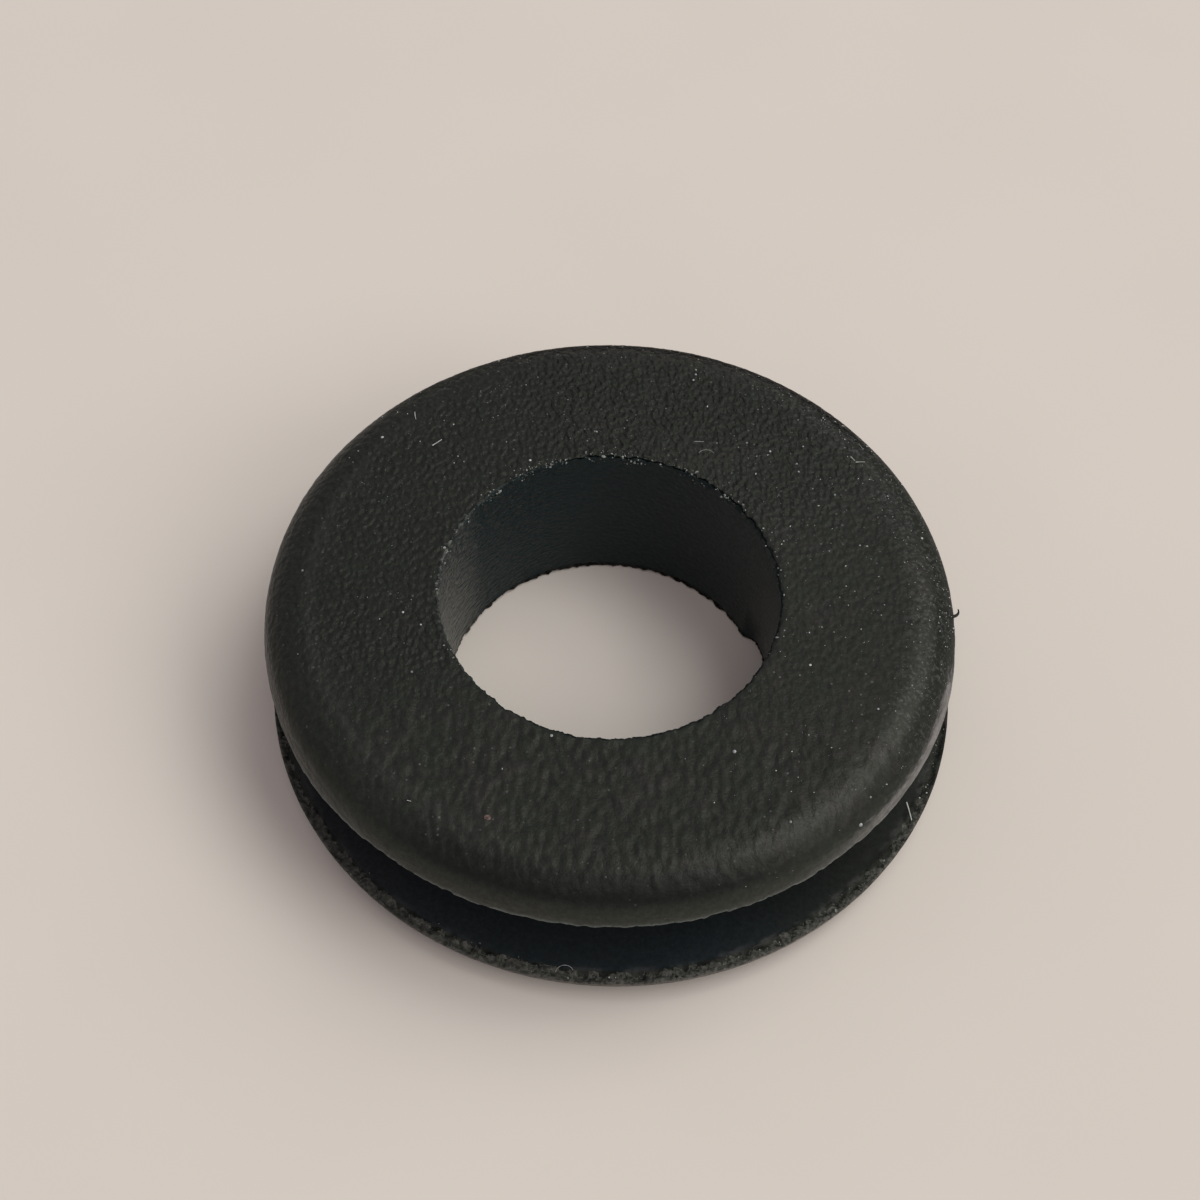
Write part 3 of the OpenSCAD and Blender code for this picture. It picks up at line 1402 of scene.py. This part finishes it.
@dataclass(frozen=True)
class SoftBox:
    """A round soft box that faces the object from afar.

    Attributes:
        name: The light's name.
        turn: Its compass angle, in degrees from +X.
        height: Its angle above the table, in degrees.
        share: How much of white it gives on the table.
        color: Its colour.
        away: Its distance from the object.
        width: Its diameter.
    """

    name: str
    turn: float
    height: float
    share: float
    color: Triple = (1.0, 1.0, 1.0)
    away: float = 1.6
    width: float = 0.9

    def direction(self) -> Vector:
        """Works out where the light hangs.

        Returns:
            The unit vector from the object to it.
        """
        turn, height = math.radians(self.turn), math.radians(self.height)
        flat = math.cos(height)
        return Vector((math.cos(turn) * flat, math.sin(turn) * flat, math.sin(height)))

    def watts(self) -> float:
        """Returns the power that gives the wanted share on the table."""
        return self.share * (math.pi * self.away) ** 2 / self.direction().z

    def hang(self) -> None:
        """Hangs it so that it faces the object."""
        data = bpy.data.lights.new(self.name, "AREA")
        data.shape, data.size, data.energy, data.color = "DISK", self.width, self.watts(), self.color
        light = link(self.name, data)
        light.location = self.away * self.direction()
        light.rotation_mode = "QUATERNION"
        light.rotation_quaternion = self.direction().to_track_quat("Z", "Y")


@dataclass
class Studio:
    """The pale table, the soft lights, the even light of the room and the camera.

    Attributes:
        reach: Radius of the bottom flange, which sets the camera's distance.
        distance: Distance from the camera to the point that it is aimed at, in flange radii.
        elevation: The camera's angle above the table, in degrees.
        roll: The camera's roll, in degrees.
        aim: The point on the table that the camera looks at, in flange radii.
        lens: Focal length, in millimetres.
        sensor: Width of the camera's sensor, in millimetres.
        table_half: Half the table's width.
        room: Colour of the room's even light.
        room_strength: Strength of that light.
        boxes: The soft boxes.
    """

    reach: float
    distance: float = 6.4749
    elevation: float = 55.34
    roll: float = 2.23
    aim: tuple[float, float] = (-0.04369, 0.33804)
    lens: float = 62.47
    sensor: float = 36.0
    table_half: float = 1.5
    room: Triple = (0.995, 0.957, 1.05)
    room_strength: float = 0.335
    boxes: tuple[SoftBox, ...] = (
        SoftBox("key_high", 0, 64, 0.28, (0.95, 1.01, 1.04)),
        SoftBox("key_front", -30, 38, 0.17, (1.01, 1.02, 0.97)),
        SoftBox("front_high", -90, 64, 0.12, (1.05, 0.97, 0.98)),
        SoftBox("key_back", 45, 64, 0.125, (1.0, 1.04, 0.96)),
        SoftBox("key_side", 30, 38, 0.06, (1.05, 1.05, 0.9)),
    )

    def camera(self) -> None:
        """Places the camera."""
        data = bpy.data.cameras.new("camera")
        data.lens, data.sensor_width, data.clip_start = self.lens, self.sensor, MM
        turn, roll = math.radians(self.elevation), math.radians(self.roll)
        back = Vector((0, -math.cos(turn), math.sin(turn)))
        right = Vector((1, 0, 0))
        upward = back.cross(right)
        across = math.cos(roll) * right + math.sin(roll) * upward
        rising = math.cos(roll) * upward - math.sin(roll) * right
        aimed = Matrix((across, rising, back)).transposed().to_4x4()
        spot = (Vector((*self.aim, 0)) + self.distance * back) * self.reach
        camera = link("camera", data)
        camera.matrix_world = Matrix.Translation(spot) @ aimed
        bpy.context.scene.camera = camera

    def floor(self) -> None:
        """Lays the table."""
        half = self.table_half
        mesh = bpy.data.meshes.new("table")
        mesh.from_pydata([(-half, -half, 0), (half, -half, 0), (half, half, 0), (-half, half, 0)], [],
                         [(0, 1, 2, 3)])
        mesh.materials.append(TABLE.material())
        link("table", mesh)

    def sky(self) -> None:
        """Fills the room with even light, and shows a pale wall to the camera."""
        world = bpy.data.worlds.new("room")
        world.use_nodes = True
        graph = Graph(world.node_tree)
        light = graph.give("ShaderNodeBackground", (*self.room, 1), self.room_strength)
        wall = graph.give("ShaderNodeBackground", (*TABLE.low, 1))
        seen = graph.give("ShaderNodeLightPath", out="Is Camera Ray")
        mix = graph.give("ShaderNodeMixShader", seen, light, wall)
        graph.put(world.node_tree.nodes["World Output"].inputs[0], mix)
        bpy.context.scene.world = world

    def build(self) -> None:
        """Builds the table, the lights and the camera."""
        self.floor()
        self.sky()
        for box in self.boxes:
            box.hang()
        self.camera()
        bpy.context.scene.view_settings.view_transform = "Standard"
        LOG.info("studio: camera, %d soft boxes and a table", len(self.boxes))


LARGE_SPECKS = (
    Speck(6.87, -2.92, 0.12), Speck(4.20, -6.53, 0.14), Speck(6.06, -9.13, 0.10), Speck(8.81, -7.87, 0.10),
    Speck(9.17, -4.62, 0.10), Speck(8.49, -8.72, 0.16), Speck(-2.03, -6.18, 0.12), Speck(2.79, 10.22),
    Speck(2.70, 9.93), Speck(-8.95, 6.55, 0.13), Speck(-3.36, 5.70, 0.10), Speck(-0.93, 7.19, 0.08),
    Speck(4.73, 6.93), Speck(5.60, 6.57), Speck(6.59, 6.02, 0.08), Speck(6.65, 5.65, 0.08),
    Speck(7.97, 4.63, 0.10), Speck(8.81, 2.34, 0.08), Speck(9.07, 2.32, 0.08), Speck(11.13, 2.96, 0.10),
    Speck(-11.25, 0.32), Speck(-7.50, -1.36), Speck(-6.83, -1.86, 0.08), Speck(-6.98, -3.84),
)
FACE_LINT = (
    Strand(138.6, 9.4 * MM, -0.03 * MM, 41, 0.45 * MM, 3, 0.022 * MM),
    Strand(135.0, 11.09 * MM, -0.03 * MM, -85, 0.4 * MM, 12, 0.018 * MM),
    Strand(36.9, 10.79 * MM, -0.03 * MM, -52, 0.24 * MM, 0, 0.025 * MM),
    Strand(35.3, 10.79 * MM, -0.03 * MM, 7, 0.36 * MM, 10, 0.025 * MM),
    Strand(29.9, 10.4 * MM, -0.03 * MM, 61, 0.33 * MM, 10, 0.014 * MM),
    Strand(39.6, 11.59 * MM, -0.03 * MM, -53, 0.46 * MM, -20, 0.014 * MM),
    Strand(68.3, 7.41 * MM, -0.03 * MM, 10, 0.38 * MM, -15, 0.01 * MM),
    Strand(65.3, 7.0 * MM, -0.03 * MM, 60, 0.7 * MM, -120, 0.007 * MM),
    Strand(-127.1, 11.14 * MM, -0.03 * MM, -14, 0.14 * MM, 0, 0.012 * MM),
)
LEDGE_LINT = (
    Strand(-25.4, 12.06 * MM, 0.02 * MM, -76, 0.75 * MM, -6, 0.03 * MM),
    Strand(-97.3, 12.49 * MM, 0.02 * MM, 80, 0.78 * MM, -140, 0.009 * MM),
    Strand(-23.6, 12.4 * MM, 0.02 * MM, 0, 0.05 * MM, 0, 0.03 * MM),
    Strand(-22.2, 12.56 * MM, 0.02 * MM, 0, 0.05 * MM, 0, 0.03 * MM),
)


def main() -> None:
    """Builds the grommet, what lies on it and the studio."""
    logging.basicConfig(level=logging.INFO, format="%(name)s: %(message)s")
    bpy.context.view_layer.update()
    section = Section.of_node(NODE)
    Studio(section.bottom_r).build()
    rubber = RubberFinish()
    moulding = MouldedBody(section, rubber)
    body = moulding.build()
    dust = PaleFinish("pale dust", (0.09, 0.095, 0.085), (0.5, 0.5, 0.47), 0.25 * MM)
    chaff = PaleFinish("rubber chaff", (0.07, 0.075, 0.065), (0.32, 0.33, 0.3), 0.2 * MM)
    for scatter in (
        Scatter("dust_specks", dust, 7 / MM ** 2, 0.025 * MM, 0.08 * MM, 3, sparse=0.04),
        Scatter("rim_dust", dust, 14 / MM ** 2, 0.03 * MM, 0.085 * MM, 11, Mask.RIM_DUST,
                (0.9, 0.43, 0.0), 0.0, 0.2),
        Scatter("bore_rim_crumbs", chaff, 110 / MM ** 2, 0.04 * MM, 0.16 * MM, 5, Mask.BORE_TOP,
                (-0.2, 0.98, 0.0), 0.0, -0.35),
        Scatter("torn_lip_crumbs", chaff, 16 / MM ** 2, 0.03 * MM, 0.1 * MM, 7, Mask.BOTTOM_LIP,
                (0.5, -0.87, 0.0), 0.3),
    ):
        scatter.build(body, section)
    fleck = PaleFinish("pale fleck", (0.17, 0.18, 0.18), (0.42, 0.42, 0.41), 0.2 * MM)
    PlacedSpecks("large_specks", fleck, LARGE_SPECKS).build(moulding.face_at)
    PlacedSpecks("rust_speck", PaleFinish("rust", (0.06, 0.042, 0.036), (0.15, 0.098, 0.083), 0.12 * MM),
                 (Speck(-4.02, -9.44, 0.33),), 0.33).build(moulding.face_at)
    lint = PaleFinish("lint", (0.3, 0.3, 0.28), (0.5, 0.5, 0.47))
    Strands("face_lint", lint, FACE_LINT).build(moulding.face_at)
    Strands("ledge_lint", lint, LEDGE_LINT).build(moulding.ledge_at)
    nib = Strand(0.2, 12.16 * MM, 4.5 * MM, -5, 0.48 * MM, 115, 0.075 * MM, 0.3)
    Strands("flash_nib", rubber, (nib,)).build(moulding.ledge_at)


if __name__ == "__main__":
    main()
